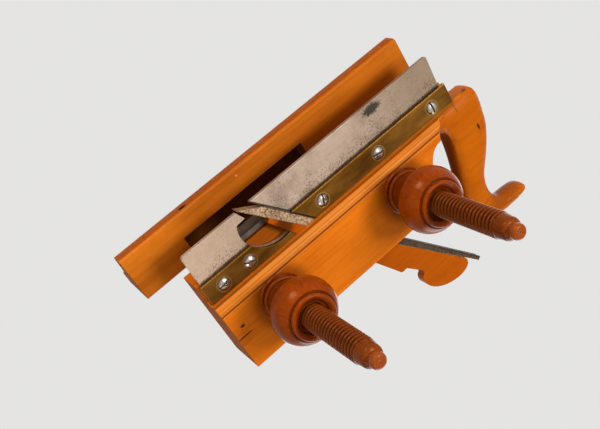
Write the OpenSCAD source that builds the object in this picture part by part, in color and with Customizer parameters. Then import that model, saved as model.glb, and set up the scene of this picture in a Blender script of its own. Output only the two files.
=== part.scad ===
// Plough plane with screw arms. Millimetres.
// X runs from heel to toe, Y from the off side to the fence, Z up from the bottom edge of the skate.

/* [Skate] */
// length of the skate along its bottom edge
skate_len = 228.6; // [220:0.2:236]
// thickness of both skate plates
skate_t = 3.2; // [2.6:0.1:3.6]
// height of skate standing below the sole
skate_out = 25; // [23:0.5:26]
// height of skate hidden behind the brass
skate_in = 15; // [12:0.5:16]
// radius of the lower toe corner
skate_toe_r = 2.6; // [1:0.1:4]
// easing at the foot of the skate's heel
skate_heel_r = 2; // [1.6:0.1:2.4]
// how far the heel edge leans forward at the sole
heel_rake = 2.4; // [0:0.1:4]
// mouth corner of the front skate, measured from the cutting edge
mouth_gap = 0.8; // [0.4:0.1:1.6]
// height of the beak over the mouth
beak_h = 7.3; // [5:0.1:8]
// how far the beak leans back
beak_back = 2.5; // [1:0.1:3.5]

/* [Throat] */
// throat centre behind the toe of the skate
throat_back = 65.5; // [63:0.5:68]
// height of the throat centre
throat_z = 17; // [15:0.5:19]
// half length of the throat
throat_rx = 24.3; // [22:0.1:26]
// half height of the throat
throat_rz = 20; // [18:0.1:21]

/* [Brass plates] */
// thickness of the brass plates
brass_t = 3; // [2.4:0.1:3.4]
// height of the brass plates
brass_h = 16.6; // [16:0.1:17.4]
// brass standing past the toe of the skate
brass_toe = 1.4; // [0.6:0.1:2.4]
// brass standing past the heel of the skate
brass_heel = 0.9; // [0.4:0.1:1.6]

/* [Plate screws] */
// height of the screws above the sole
screw_up = 8.8; // [8:0.1:9.5]
// places of the screws behind the toe of the skate
screw_back = [13.2, 36.8, 104, 158, 211.9];
// turn of each screw slot
screw_turn = [20, 75, 5, 40, -25];
// radius of the screw heads
screw_head_r = 4.9; // [4.2:0.1:5.4]
// height of the dome on the screw heads
screw_dome = 1.5; // [1:0.1:1.8]
// depth of the countersink
screw_sink = 2.4; // [2:0.1:2.6]
// radius of the screw shanks
screw_r = 2.2; // [1.8:0.1:2.6]
// length of the screws in the wood
screw_len = 14; // [10:0.5:16]
// width of the screw slots
slot_w = 1.1; // [0.8:0.1:1.4]

/* [Stock] */
// overhang of the off side past the skate
stock_over = 12; // [11:0.1:13]
// width of the sole beside the skate
sole_w = 22.8; // [21:0.1:25]
// height of the stock above the sole
stock_h = 71.8; // [69:0.1:75]
// stock standing past the toe of the skate
stock_toe = 3.2; // [2.4:0.1:4]
// radius of the bead under the overhang
mould_r = 6.6; // [6:0.1:7]
// heel end of the overhang behind the toe of the skate, at its bottom
over_end = 211; // [206:0.5:216]

/* [Tote] */
// thickness of the tote
tote_t = 22.2; // [20:0.2:24]
// middle of the tote from the skate, towards the fence
tote_y = 6.4; // [5:0.1:8]
// top of the tote above the skate bottom
tote_h = 150.6; // [147:0.2:156]
// underside of the tote heel above the brass
under_gap = 0.4; // [0.3:0.1:1.2]
// back of the grip behind the heel of the skate
grip_back = 25; // [22:0.2:28]
// tip of the horn behind the heel of the skate
horn_back = 26.8; // [25:0.2:30]
// front of the grip before the heel of the skate
grip_front = 19.4; // [17:0.2:22]
// lowest point of the finger hole
hole_z = 55; // [53:0.5:58]
// rear end of the stock top before the heel of the skate
top_end = 52.3; // [49:0.2:56]

/* [Iron] */
// bed line at the bottom of the skate, behind the toe
bed_back = 60.2; // [59:0.1:62]
// bed angle
bed_a = 51.7; // [51:0.1:52.5]
// angle of the iron's upper face
face_a = 50.6; // [50:0.1:51]
// cutting edge behind the toe of the skate
edge_back = 48.8; // [48:0.1:49.5]
// cutting edge below the skate
edge_out = 1.6; // [0.6:0.1:2]
// length of the iron
iron_len = 217; // [205:1:225]
// width of the iron
iron_w = 8; // [6:0.1:8.4]
// off side face of the iron from the middle of the skate
iron_off = 3.6; // [2.6:0.1:3.8]
// thickness of the tang end
tang_t = 3.4; // [2.6:0.1:4]
// run of the bevel along the bed
bevel_run = 21; // [18:0.5:24]
// half width of the groove in the back of the iron
groove_w = 1.5; // [1.2:0.1:1.6]
// clearance of the ridge in the groove
groove_gap = 0.25; // [0.2:0.05:0.4]

/* [Wedge] */
// tip of the wedge along the iron from the cutting edge
wedge_tip = 25.6; // [24:0.1:30]
// thickness of the wedge tip
wedge_tip_t = 3.4; // [3:0.1:4]
// taper of the wedge
wedge_a = 8; // [7.6:0.1:8.2]
// end of the straight front along the iron
wedge_front = 147; // [144:0.5:150]
// depth of the notch
notch_d = 4; // [3:0.1:5]
// end of the finial along the iron
finial_end = 207.5; // [204:0.5:210]
// clearance of wedge and iron in their mortise
mortise_gap = 0.25; // [0.15:0.05:0.35]

/* [Fence] */
// working face from the skate
fence_gap = 30.3; // [28:0.1:40]
// length of the fence
fence_len = 260.2; // [250:0.2:270]
// fence standing past the toe of the skate
fence_toe = 30.7; // [26:0.1:35]
// fence reaching below the skate
fence_low = 11.6; // [8:0.1:14]
// clearance of the fence board under the sole
fence_under = 0.6; // [0.4:0.1:1]
// thickness of the fence over all
fence_t = 40.5; // [39:0.1:46]
// width of the fence bottom
fence_foot = 13; // [11:0.5:15]
// step from the working face back to the rail
rail_step = 23.5; // [23:0.1:26]
// top of the rail below the arm centres
rail_drop = 4.4; // [3:0.1:6]
// front end of the rail behind the toe of the skate
rail_toe = 20; // [19:0.5:22]
// rear end of the rail behind the toe of the skate
rail_heel = 205; // [195:0.5:210]
// depth of the relief in the working face
relief_d = 16; // [12:0.5:20]
// front end of the relief behind the toe of the skate
relief_toe = 14.7; // [12:0.1:20]
// rear end of the relief behind the toe of the skate
relief_heel = 124.3; // [120:0.1:130]
// bottom of the relief above the skate bottom
relief_z = 5.4; // [4:0.1:6]

/* [Arms] */
// front arm behind the toe of the skate
arm_front = 39.4; // [38:0.1:41]
// rear arm behind the toe of the skate
arm_rear = 157; // [150:0.2:162]
// height of the arms above the skate bottom
arm_z = 65.4; // [63:0.1:67]
// outer radius of the arm thread
arm_r = 9.15; // [8.6:0.05:9.4]
// radius of the plain end of the arms
arm_plain_r = 8.85; // [8:0.05:8.9]
// depth of the thread
thread_d = 1.5; // [1:0.1:1.8]
// pitch of the thread
thread_p = 3.6; // [3.4:0.05:4]
// turns of thread on each arm
thread_turns = 47; // [44:1:47]
// length of the arms past the off side of the stock
arm_out = 127.3; // [124:0.1:134]
// plain end of the arms past the rail
arm_end = 3; // [2:0.1:6]
// radius of the small round end
nipple_r = 5.6; // [4.8:0.1:6.4]
// length of the small round end
nipple_len = 7; // [5:0.1:8]
// clearance round the arms in stock and nuts
arm_gap = 0.35; // [0.3:0.05:0.5]
// radius of the screws that hold the arms
arm_screw_r = 2; // [1.6:0.1:2.4]
// radius of the arm screw heads
arm_screw_head = 3.9; // [3.6:0.1:4.2]
// height of the arm screw heads
arm_screw_head_h = 2.2; // [2:0.1:2.6]
// arm screws outwards from the inner side of the rail
arm_screw_in = 9; // [8:0.1:9]
// length of the arm screws below the arm's middle
arm_screw_len = 30; // [26:0.5:32]

/* [Nuts] */
// radius of the beaded foot
foot_r = 17.6; // [16.4:0.1:18]
// radius of the neck
neck_r = 14.4; // [13.6:0.1:14.8]
// largest radius of the dome
dome_r = 24.2; // [22:0.1:26]
// length of the knob
knob_len = 48.9; // [46:0.1:52]
// radius of the front bead
bead_r = 17; // [16.4:0.1:18]
// depth of the dished face
dish_d = 4.4; // [3.6:0.1:6]
// clearance between the nuts and the stock
nut_gap = 0.1; // [0.05:0.05:0.3]
// thickness of the inner nuts
inner_t = 9; // [7:0.1:10]
// radius of the inner nuts
inner_r = 17; // [15:0.1:18]

/* [Depth stop] */
// stop screw behind the toe of the skate
stop_back = 70; // [66:0.5:76]
// stop screw from the middle of the skate
stop_y = 13; // [12.6:0.1:13.6]
// length of the shoe
shoe_len = 78; // [66:0.5:84]
// shoe in front of the screw
shoe_front = 38; // [32:0.5:42]
// width of the shoe
shoe_w = 14.4; // [12:0.1:14.6]
// thickness of the shoe
shoe_t = 3.6; // [3:0.1:4]
// shoe below the sole as it stands
shoe_drop = 1.6; // [1:0.1:4]
// radius of the stem
stem_r = 5; // [4.6:0.1:5.4]
// running clearance of the stem
stem_gap = 0.08; // [0.05:0.01:0.1]
// length of the stem
stem_len = 46; // [40:0.5:48]
// radius of the thumbscrew shank
thumb_r = 3; // [2.6:0.1:3.2]
// length of the shank in the stem at rest
thumb_in = 24; // [20:0.5:26]
// radius of the thumbscrew head
thumb_head_r = 9; // [8:0.1:10]
// height of the thumbscrew head
thumb_head_h = 7; // [5:0.1:9]
// neck of the thumbscrew between plate and head
thumb_neck = 9; // [6:0.1:12]
// radius of the collar under the plate
collar_r = 5.6; // [5:0.1:6]
// thickness of the collar
collar_t = 2.4; // [2:0.1:3]
// length of the top plate
top_plate_l = 34; // [32:0.5:38]
// width of the top plate
top_plate_w = 15; // [14:0.1:16]
// thickness of the top plate
top_plate_t = 2; // [1.6:0.1:2.4]
// top plate screws in from the ends of the plate
top_screw_end = 4.4; // [4:0.1:4.6]
// length of the top plate screws below the plate
top_screw_len = 9; // [8:0.1:10]
// radius of the top plate screws
top_screw_r = 1.5; // [1.2:0.1:1.8]

/* [Drawing] */
// sub-part to draw, or all
// sides of the helical thread
thread_n = 16; // [16:1:20]

/* [Hidden] */
$fn = 64;
toe_x = skate_len / 2;
heel_x = -skate_len / 2;
y_sk = skate_t / 2;
y_br = -y_sk - brass_t;
y_off = -y_sk - stock_over;
y_in = y_sk + sole_w;
z_sole = skate_out;
z_br = z_sole + brass_h;
z_sk = z_sole + skate_in;
z_top = z_sole + stock_h;
z_under = z_br + under_gap;
wood_toe = toe_x + stock_toe;
plate_toe = toe_x + brass_toe;
plate_heel = heel_x - brass_heel;
bed_x = toe_x - bed_back;
edge_x = toe_x - edge_back;
throat_x = toe_x - throat_back;
fence_y = y_sk + fence_gap;
fence_x1 = toe_x + fence_toe;
fence_x0 = fence_x1 - fence_len;
fence_top = z_sole - fence_under;
fence_out = fence_y + fence_t;
rail_y = fence_y + rail_step;
rail_z = arm_z - rail_drop;
arm_x1 = toe_x - arm_front;
arm_x2 = toe_x - arm_rear;
arm_tip = y_off - arm_out;
arm_back = fence_out + arm_end;
thread_y = rail_y - 1.4;
stop_x = toe_x - stop_back;
shoe_z = z_sole - shoe_drop - shoe_t;
stem_top = shoe_z + shoe_t + stem_len;
top_screw_at = top_plate_l / 2 - top_screw_end;
iron_y0 = -iron_off;
iron_y1 = iron_w - iron_off;
bore_r = arm_r + arm_gap;
ub = [-cos(bed_a), sin(bed_a)];
vb = [sin(bed_a), cos(bed_a)];
uf = [-cos(face_a), sin(face_a)];
vf = [sin(face_a), cos(face_a)];

function bez(a, b, c, d, n = 9) = [for (i = [0:n - 1]) let (t = i / n, s = 1 - t)
    a * s * s * s + b * 3 * s * s * t + c * 3 * s * t * t + d * t * t * t];
function arc(cx, cy, rx, ry, a0, a1, n = 16) = [for (i = [0:n])
    let (a = a0 + (a1 - a0) * i / n) [cx + rx * cos(a), cy + ry * sin(a)]];
// point on the bed: along the bed and square to it
function on_bed(u, v) = [bed_x, 0] + ub * u + vb * v;
// point on the iron's upper face: along it from the cutting edge and square to it
function on_face(s, w) = [edge_x, -edge_out] + uf * s + vf * w;
function wedge_w(s) = wedge_tip_t + (s - wedge_tip) * tan(wedge_a);
// place of the abutment at height z
function abut_x(z) = let (p = on_face(0, wedge_w(0) + mortise_gap), a = face_a + wedge_a)
    p[0] - (z - p[1]) / tan(a);
function unit(p) = p / norm(p);
// outline moved inwards by d, for outlines drawn clockwise
function inset(p, d) = [for (i = [0:len(p) - 1])
    let (a = p[(i + len(p) - 1) % len(p)], b = p[(i + 1) % len(p)], t = unit(b - a))
    p[i] + d * [t[1], -t[0]]];

// shape in X and Z, drawn out along Y
module side(y0, y1) {
    translate([0, y1, 0]) rotate([90, 0, 0]) linear_extrude(y1 - y0) children();
}
// shape in Y and Z, drawn out along X
module along(x0, x1) {
    translate([x0, 0, 0]) rotate([90, 0, 90]) linear_extrude(x1 - x0) children();
}

body_end = bez([heel_x + top_end, z_top], [heel_x + top_end - 10, z_top - 5],
    [heel_x + top_end - 4, hole_z + 0.5], [heel_x + 26.3, hole_z]);
grip_pts = concat(
    bez([heel_x + 26.3, hole_z - 0.2], [heel_x + grip_front - 8, hole_z - 0.8],
        [heel_x + grip_front - 6, hole_z + 11], [heel_x + grip_front, hole_z + 37]),
    bez([heel_x + grip_front, hole_z + 37], [heel_x + grip_front + 3, hole_z + 50],
        [heel_x + grip_front + 7.6, tote_h - 35], [heel_x + grip_front + 7.6, tote_h - 20]),
    bez([heel_x + grip_front + 7.6, tote_h - 20], [heel_x + grip_front + 7.6, tote_h - 7],
        [heel_x + grip_front - 3, tote_h], [heel_x + 2.3, tote_h]),
    bez([heel_x + 2.3, tote_h], [heel_x - horn_back + 13, tote_h],
        [heel_x - horn_back, tote_h], [heel_x - horn_back, tote_h - 6.5]),
    bez([heel_x - horn_back, tote_h - 6.5], [heel_x - horn_back, tote_h - 11.5],
        [heel_x - 15, tote_h - 12.4], [heel_x - 1.7, tote_h - 13.8]),
    bez([heel_x - 1.7, tote_h - 13.8], [heel_x + 4, tote_h - 14.6],
        [heel_x + 4.7, tote_h - 29.1], [heel_x - 1.3, tote_h - 40.2]),
    bez([heel_x - 1.3, tote_h - 40.2], [heel_x - 8.2, tote_h - 50.1],
        [heel_x - grip_back + 3, z_under + 42], [heel_x - grip_back + 1.9, z_under + 25]),
    bez([heel_x - grip_back + 1.9, z_under + 25], [heel_x - grip_back - 0.1, z_under + 14],
        [heel_x - grip_back - 1.2, z_under], [heel_x - grip_back + 7.3, z_under]));
tote_pts = concat([[heel_x + 60, z_under], [heel_x + 60, hole_z - 3]], grip_pts,
    [[heel_x - grip_back + 7.3, z_under]]);
rev_tote = [for (i = [len(tote_pts) - 1:-1:0]) tote_pts[i]];

module tote() {
    for (s = [[0, 0.47], [1, 0.72], [2.3, 1]]) {
        h = s[1] * tote_t / 2;
        side(tote_y - h, tote_y + h) polygon(inset(rev_tote, s[0]));
    }
}
module body_section() {
    polygon(concat([[y_sk, z_sole], [y_in, z_sole], [y_in, z_top], [y_off, z_top],
        [y_off, z_br + mould_r + 0.6],
        [y_off + 0.9, z_br + mould_r + 0.6]],
        arc(y_off + 0.9 + mould_r, z_br + mould_r, mould_r, mould_r, 180, 270, 12),
        [[y_br, z_br], [-y_sk, z_br], [-y_sk, z_sk], [y_sk, z_sk]]));
}
module body_outline() {
    polygon(concat([[wood_toe + 1, 0], [wood_toe + 1, z_top + 1], [heel_x + top_end, z_top + 1]], body_end,
        [[heel_x + 26.3, hole_z], [toe_x - over_end + 5, z_br + 6], [toe_x - over_end, z_br - 1],
         [toe_x - over_end, 0]]));
}
module egg() {
    polygon(concat(arc(throat_x, throat_z, throat_rx, throat_rz, -27, 100, 30),
        [on_bed(46, 0), on_bed(12, 0), [edge_x - beak_back, beak_h]]));
}
module mortise_shape(g) {
    up = 1.4 * z_top / sin(bed_a);
    low = wedge_tip - 1.2 * z_sole;
    polygon([on_bed(-z_sole, 0), on_bed(up, 0), on_face(up - z_sole, wedge_w(up - z_sole) + g),
        on_face(low, wedge_w(low) + g)]);
}
module thread_hole(x, r) {
    translate([x, y_off - 1, arm_z]) rotate([-90, 0, 0]) cylinder(r = r, h = y_in - y_off + 2);
}
module stock() {
    color("#c8741f") difference() {
        union() {
            intersection() {
                along(plate_heel - 1, wood_toe) body_section();
                side(y_off - 1, y_in + 1) body_outline();
            }
            translate([plate_heel, y_sk, z_sole])
                cube([toe_x - over_end - plate_heel + 4, sole_w, brass_h + under_gap + 2]);
            tote();
        }
        side(iron_y0 - mortise_gap, iron_y1 + mortise_gap) mortise_shape(mortise_gap);
        side(y_sk - 1, iron_y1 + mortise_gap) egg();
        for (x = [arm_x1, arm_x2]) thread_hole(x, bore_r);
        for (b = screw_back) translate([toe_x - b, 0, z_sole + screw_up]) rotate([-90, 0, 0])
            cylinder(r = screw_r, h = screw_len + y_br + 0.1);
        translate([stop_x, stop_y, z_sole - 1]) cylinder(r = stem_r + stem_gap, h = stem_top - z_sole + 4);
        translate([stop_x, stop_y, stem_top]) cylinder(r = thumb_r + 0.3, h = z_top - stem_top);
        translate([stop_x, stop_y, z_top - top_plate_t - collar_t - 0.1])
            cylinder(r = collar_r + 0.3, h = collar_t + 1);
        translate([stop_x - top_plate_l / 2, stop_y - top_plate_w / 2, z_top - top_plate_t])
            cube([top_plate_l, top_plate_w, top_plate_t + 1]);
        for (s = [-1, 1]) translate([stop_x + s * top_screw_at, stop_y, z_top - top_plate_t - top_screw_len])
            cylinder(r = top_screw_r, h = top_plate_t + top_screw_len);
    }
}
module plate_holes(i0, i1) {
    for (i = [i0:i1]) translate([toe_x - screw_back[i], 0, z_sole + screw_up]) {
        translate([0, y_br - 1, 0]) rotate([-90, 0, 0]) cylinder(r = screw_r, h = brass_t + skate_t + 2);
        translate([0, y_br, 0]) rotate([-90, 0, 0])
            cylinder(r1 = screw_head_r, r2 = screw_r, h = screw_sink);
        translate([0, y_br - 1, 0]) rotate([-90, 0, 0]) cylinder(r = screw_head_r, h = 1);
    }
}
module front_skate() {
    color("#b9b6ae") difference() {
        side(-y_sk, y_sk) difference() {
            polygon(concat([[edge_x + mouth_gap, 0]],
                arc(toe_x - skate_toe_r, skate_toe_r, skate_toe_r, skate_toe_r, -90, 0, 8),
                [[toe_x, z_sk], [on_face(1.06 * z_sk / sin(face_a), 0)[0], z_sk],
                    [edge_x - beak_back, beak_h]]));
            egg();
            mortise_shape(mortise_gap);
        }
        plate_holes(0, 1);
    }
}
module rear_skate() {
    color("#b9b6ae") difference() {
        union() {
            side(-y_sk, y_sk) polygon([[bed_x, 0], on_bed(z_sk / sin(bed_a), 0), [heel_x + heel_rake, z_sk],
                [heel_x + heel_rake, z_sole], [heel_x + 0.4 * skate_heel_r, 0.3 * skate_heel_r],
                [heel_x + skate_heel_r, 0]]);
            multmatrix([[ub[0], vb[0], 0, on_bed(bevel_run - 8, 0)[0]], [0, 0, 1, 0],
                [ub[1], vb[1], 0, on_bed(bevel_run - 8, 0)[1]], [0, 0, 0, 1]])
                rotate([90, 0, 90]) linear_extrude(z_sk / sin(bed_a) - bevel_run + 8)
                polygon([[-0.4, groove_gap - groove_w], [groove_w - groove_gap, 0],
                    [-0.4, groove_w - groove_gap]]);
        }
        plate_holes(2, 4);
    }
}
module front_plate() {
    color("#a98a3e") difference() {
        side(y_br, -y_sk) difference() {
            polygon([[plate_toe, z_sole], [plate_toe, z_br], [abut_x(z_br), z_br],
                [abut_x(z_sole), z_sole]]);
            egg();
            mortise_shape(mortise_gap);
        }
        plate_holes(0, 1);
    }
}
module rear_plate() {
    color("#a98a3e") difference() {
        side(y_br, -y_sk) polygon([on_bed(z_sole / sin(bed_a), 0), on_bed(z_br / sin(bed_a), 0),
            [plate_heel, z_br], [plate_heel, z_sole]]);
        plate_holes(2, 4);
    }
}
module plate_screw(i) {
    k = (screw_head_r * screw_head_r + screw_dome * screw_dome) / (2 * screw_dome);
    a = asin(screw_head_r / k);
    color("#8f8c86") translate([toe_x - screw_back[i], y_br, z_sole + screw_up]) difference() {
        rotate([90, 0, 0]) rotate_extrude() polygon(concat(
            [[0, -screw_len], [screw_r, -screw_len], [screw_r, -screw_sink]],
            [for (j = [0:5]) [k * sin(a * (1 - j / 6)), screw_dome - k * (1 - cos(a * (1 - j / 6)))]],
            [[0, screw_dome]]));
        rotate([0, screw_turn[i], 0]) translate([-slot_w / 2, -screw_dome - 1, -2 * screw_head_r])
            cube([slot_w, screw_dome + 1.2, 4 * screw_head_r]);
    }
}
module plate_screw_1() plate_screw(0);
module plate_screw_2() plate_screw(1);
module plate_screw_3() plate_screw(2);
module plate_screw_4() plate_screw(3);
module plate_screw_5() plate_screw(4);
module iron() {
    e = [edge_x - bed_x, -edge_out];
    eu = e * ub;
    color("#a9a49a") difference() {
        side(iron_y0, iron_y1) polygon([[edge_x, -edge_out], on_bed(eu + bevel_run, 0.05),
            on_bed(eu + iron_len, 0.05), on_bed(eu + iron_len, tang_t)]);
        multmatrix([[ub[0], vb[0], 0, bed_x], [0, 0, 1, 0], [ub[1], vb[1], 0, 0], [0, 0, 0, 1]])
            translate([-20, 0, 0]) rotate([90, 0, 90]) linear_extrude(iron_len + 60)
            polygon([[-1, -groove_w - 1], [groove_w, 0], [-1, groove_w + 1]]);
    }
}
module wedge() {
    f = finial_end;
    n = wedge_front;
    color("#cf7f2a") side(iron_y0, iron_y1) polygon(concat(
        [on_face(f - 4, 0.05), on_face(wedge_tip, 0.05), on_face(wedge_tip, wedge_tip_t),
            on_face(n, wedge_w(n))],
        [for (p = bez([n, wedge_w(n)], [n + 2.5, wedge_w(n)],
            [n + 3, wedge_w(n) - notch_d], [n + 5, wedge_w(n) - notch_d])) on_face(p[0], p[1])],
        [for (p = bez([n + 17, wedge_w(n) - notch_d - 0.4], [n + 20.5, wedge_w(n) - notch_d - 0.4],
            [n + 22.5, wedge_w(n) - notch_d + 1], [n + 21.4, wedge_w(n) - 0.4])) on_face(p[0], p[1])],
        [for (p = bez([n + 21.4, wedge_w(n) - 0.4], [n + 22.5, wedge_w(n) + 5.2],
            [n + 30, wedge_w(n) + 7.5], [n + 37.7, wedge_w(n) + 5.8])) on_face(p[0], p[1])],
        [for (p = bez([n + 37.7, wedge_w(n) + 5.8], [n + 49, wedge_w(n) + 3.2],
            [f + 0.6, wedge_w(n) - 8], [f, 4.5])) on_face(p[0], p[1])],
        [for (p = bez([f, 4.5], [f - 0.3, 2], [f - 2, 0.4], [f - 4, 0.05])) on_face(p[0], p[1])]));
}
module fence_section() {
    w = fence_y + fence_foot;
    polygon(concat([[fence_y + 1.4, -fence_low]], [[w - 1.2, -fence_low]],
        bez([w, -fence_low + 0.8], [w + 4, -fence_low + 5], [w + 4, fence_top - 22],
            [w + 12, fence_top - 17]),
        bez([w + 12, fence_top - 17], [w + 20, fence_top - 12],
            [fence_out - 1, fence_top - 14], [fence_out, fence_top - 6]),
        [[fence_out, fence_top - 6], [fence_out, fence_top], [fence_y + 0.8, fence_top],
         [fence_y, fence_top - 0.8], [fence_y, -fence_low + 1.4]]));
}
module rail_outline() {
    a = toe_x - rail_toe;
    b = toe_x - rail_heel;
    polygon(concat([[b - 14, fence_top - 2], [b - 14, fence_top]],
        bez([b - 14, fence_top], [b - 2, fence_top + 2], [b - 2, rail_z - 12], [b + 12, rail_z]),
        [[b + 12, rail_z]],
        bez([a - 7, rail_z], [a - 2, rail_z - 1], [a, rail_z - 6], [a, rail_z - 14]),
        [[a, rail_z - 14], [a, fence_top - 2]]));
}
module fence() {
    color("#cc7a26") difference() {
        union() {
            along(fence_x0, fence_x1) fence_section();
            side(rail_y, fence_out) rail_outline();
        }
        translate([toe_x - relief_heel, fence_y - 1, relief_z])
            cube([relief_heel - relief_toe, relief_d + 1, fence_top]);
        for (x = [arm_x1, arm_x2]) {
            translate([x, rail_y - 1, arm_z]) rotate([-90, 0, 0]) cylinder(r = arm_plain_r, h = fence_t);
            translate([x, rail_y + arm_screw_in, arm_z - arm_screw_len])
                cylinder(r = arm_screw_r, h = arm_screw_len);
        }
    }
}
tip_prof = [[8.7, arm_tip + 21.5], [8.1, arm_tip + nipple_len + 3.4], [7, arm_tip + nipple_len + 1.2],
    [nipple_r - 0.5, arm_tip + nipple_len], [nipple_r, arm_tip + nipple_len - 2], [nipple_r, arm_tip + 2.6],
    [nipple_r - 0.7, arm_tip + 0.9], [nipple_r - 2, arm_tip]];
back_prof = [[arm_plain_r - 1.2, arm_back], [arm_plain_r, arm_back - 1.2], [arm_plain_r, thread_y + 1]];
module arm_thread() {
    n = thread_n;
    m = thread_turns * n;
    root = arm_r - thread_d;
    rr = function (k) k < n ? arm_plain_r + (root - arm_plain_r) * k / n
        : k > m ? root + (8.7 - root) * (k - m) / n : root;
    p_b = [for (q = back_prof) for (j = [0:n - 1]) [q[0] * cos(360 * j / n), q[1], q[0] * sin(360 * j / n)]];
    p_r = [for (k = [0:m + n])
        [rr(k) * cos(360 * k / n), thread_y - thread_p * k / n, rr(k) * sin(360 * k / n)]];
    p_c = [for (k = [0:m])
        [arm_r * cos(360 * k / n), thread_y - thread_p * (k / n + 0.5), arm_r * sin(360 * k / n)]];
    p_t = [for (q = tip_prof) for (j = [0:n - 1]) [q[0] * cos(360 * j / n), q[1], q[0] * sin(360 * j / n)]];
    nb = len(back_prof);
    nt = len(tip_prof);
    b0 = 0;
    r0 = nb * n;
    c0 = r0 + m + n + 1;
    t0 = c0 + m + 1;
    faces = concat(
        [[for (j = [0:n - 1]) b0 + j]],
        [for (i = [0:nb - 2]) for (j = [0:n - 1]) let (a = b0 + i * n + j, b = b0 + i * n + (j + 1) % n)
            [a, a + n, b + n, b]],
        [for (j = [0:n - 1]) let (a = b0 + (nb - 1) * n + j, b = b0 + (nb - 1) * n + (j + 1) % n) each
            [[a, r0 + j, r0 + j + 1], [a, r0 + j + 1, b]]],
        [[b0 + (nb - 1) * n, r0 + n, c0], [b0 + (nb - 1) * n, c0, r0]],
        [for (k = [0:m - 1]) each [[r0 + k, c0 + k, c0 + k + 1], [r0 + k, c0 + k + 1, r0 + k + 1],
            [c0 + k, r0 + k + n, r0 + k + n + 1], [c0 + k, r0 + k + n + 1, c0 + k + 1]]],
        [for (j = [0:n - 1]) let (a = t0 + j, b = t0 + (j + 1) % n) each
            [[r0 + m + j, a, b], [r0 + m + j, b, r0 + m + j + 1]]],
        [[t0, r0 + m, c0 + m], [t0, c0 + m, r0 + m + n]],
        [for (i = [0:nt - 2]) for (j = [0:n - 1]) let (a = t0 + i * n + j, b = t0 + i * n + (j + 1) % n)
            [a, a + n, b + n, b]],
        [[for (j = [n - 1:-1:0]) t0 + (nt - 1) * n + j]]);
    polyhedron(points = concat(p_b, p_r, p_c, p_t), faces = faces, convexity = 10);
}
module arm(x) {
    color("#8a3f14") translate([x, 0, arm_z]) arm_thread();
}
module front_arm() arm(arm_x1);
module rear_arm() arm(arm_x2);
module arm_screw(x) {
    h = arm_screw_head_h;
    color("#8f8c86") translate([x, rail_y + arm_screw_in, arm_z + arm_plain_r - 1]) difference() {
        union() {
            cylinder(r = arm_screw_head, h = h);
            translate([0, 0, 1 - arm_plain_r - arm_screw_len])
                cylinder(r = arm_screw_r, h = arm_plain_r + arm_screw_len);
        }
        translate([-2 * arm_screw_head, -slot_w / 2, 0.55 * h]) cube([4 * arm_screw_head, slot_w, h]);
    }
}
module front_arm_screw() arm_screw(arm_x1);
module rear_arm_screw() arm_screw(arm_x2);
module outer_nut(x) {
    l = knob_len;
    color("#9c4a16") translate([x, y_off - nut_gap, arm_z]) rotate([90, 0, 0])
        rotate_extrude($fn = 96) polygon(concat(
        [[bore_r, 0], [foot_r - 0.8, 0]],
        arc(foot_r - 1.9, 0.043 * l, 1.9, 1.9, -60, 84, 6),
        arc(foot_r - 3, 0.1166 * l, 1.5, 1.5, -82, 82, 6),
        bez([neck_r + 0.2, 0.1616 * l], [neck_r - 0.8, 0.245 * l], [neck_r - 0.9, 0.409 * l],
            [neck_r + 0.3, 0.5235 * l], 7),
        bez([neck_r + 0.3, 0.5235 * l], [neck_r + 1, 0.5685 * l], [dome_r - 5, 0.5726 * l],
            [dome_r - 1.6, 0.5808 * l], 5),
        [[dome_r - 1, 0.585 * l], [dome_r - 0.5, 0.599 * l]],
        bez([dome_r - 0.3, 0.6135 * l], [dome_r + 0.4, 0.687 * l], [dome_r - 0.2, 0.779 * l],
            [dome_r - 2.6, 0.859 * l], 7),
        bez([dome_r - 2.6, 0.859 * l], [dome_r - 4, 0.904 * l], [bead_r + 1.6, l - 2.9],
            [bead_r + 0.5, l - 2.2], 6),
        [[bead_r + 0.5, l - 2.2], [bead_r - 0.1, l - 2.5], [bead_r - 0.3, l - 1.9]],
        arc(bead_r - 1.9, l - 1.6, 1.6, 1.6, 0, 105, 6),
        bez([bead_r - 2.6, l - 0.2], [bead_r - 4.2, l - 1.4], [bore_r + 1.4, l - dish_d + 0.9],
            [bore_r, l - dish_d], 6),
        [[bore_r, l - dish_d]]));
}
module front_outer_nut() outer_nut(arm_x1);
module rear_outer_nut() outer_nut(arm_x2);
module inner_nut(x) {
    t = inner_t;
    color("#9c4a16") translate([x, y_in + nut_gap, arm_z]) rotate([-90, 0, 0])
        rotate_extrude($fn = 96) polygon(concat(
        [[bore_r, 0], [inner_r - 0.8, 0]],
        arc(inner_r - 2.2, 2.2, 2.2, 2.2, -60, 90, 7),
        arc(inner_r - 4.4, t - 2, 2, 2, -60, 90, 7),
        [[bore_r, t]]));
}
module front_inner_nut() inner_nut(arm_x1);
module rear_inner_nut() inner_nut(arm_x2);
module stop_plate() {
    color("#b08f3f") difference() {
        translate([stop_x - top_plate_l / 2, stop_y - top_plate_w / 2, z_top - top_plate_t])
            cube([top_plate_l, top_plate_w, top_plate_t]);
        translate([stop_x, stop_y, z_top - top_plate_t - 1])
            cylinder(r = thumb_r + 0.08, h = top_plate_t + 2);
        for (s = [-1, 1]) translate([stop_x + s * top_screw_at, stop_y, z_top - top_plate_t]) {
            translate([0, 0, -1]) cylinder(r = top_screw_r, h = 4);
            translate([0, 0, 0.5]) cylinder(r1 = top_screw_r, r2 = top_screw_r + 1.5, h = top_plate_t - 0.5);
        }
    }
}
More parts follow.
